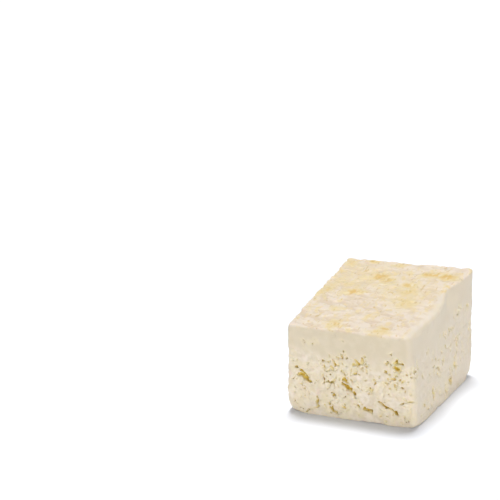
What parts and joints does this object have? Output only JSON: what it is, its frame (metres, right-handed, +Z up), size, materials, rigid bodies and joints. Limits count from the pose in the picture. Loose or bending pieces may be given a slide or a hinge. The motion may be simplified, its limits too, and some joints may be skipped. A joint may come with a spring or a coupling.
{
  "type": "block of brined cheese",
  "caption": "Hand-cut block of pressed white brined cheese: sloping top, smooth upper band, crumbly lower sides with crevices, flat base.",
  "frame": {"origin": "middle of the block's bounding box at the flat base", "axes": "+Z up from the base, -Y towards the front cut side, +X towards the right side, the long way of the block along Y"},
  "size_m": [0.0934, 0.1155, 0.0759],
  "materials": {
    "cheese": "moist matt pressed curd, cream white, ochre in the crevices and in patches on the top"
  },
  "bodies": {
    "root": {"bryndza_block": "cheese"}
  },
  "joints": []
}
